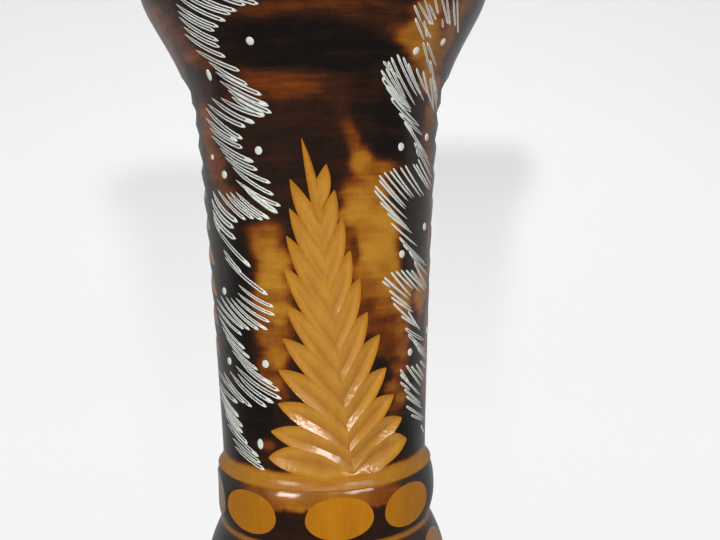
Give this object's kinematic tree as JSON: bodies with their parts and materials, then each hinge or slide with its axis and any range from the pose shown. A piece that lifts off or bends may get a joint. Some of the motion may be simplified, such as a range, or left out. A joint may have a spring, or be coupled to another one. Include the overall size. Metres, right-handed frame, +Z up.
{
  "type": "carved wooden vase",
  "caption": "Tall turned wooden vase with a waisted neck, flared head with rolled lip, carved leaf trees, a bead collar with scooped oval facets and a bell-shaped foot.",
  "frame": {"origin": "centre of the underside of the base plate, on the surface that the vase stands on", "axes": "+Z up along the turning axis, -Y towards the front, where the upright leaf tree that the picture shows is carved, +X to the viewer's right"},
  "size_m": [0.099, 0.099, 0.25],
  "materials": {
    "burnt_wood": "flame-burnt in streaks from near black to golden brown, under glossy clear lacquer",
    "cut_wood": "golden wood cut through the burnt surface, under glossy clear lacquer",
    "white_paint": "thick glossy white enamel strokes, slightly raised"
  },
  "bodies": {
    "root": {"vase_body": "burnt_wood", "bead_ring": "burnt_wood", "bell_foot": "burnt_wood", "base_plate": "burnt_wood"}
  },
  "joints": []
}
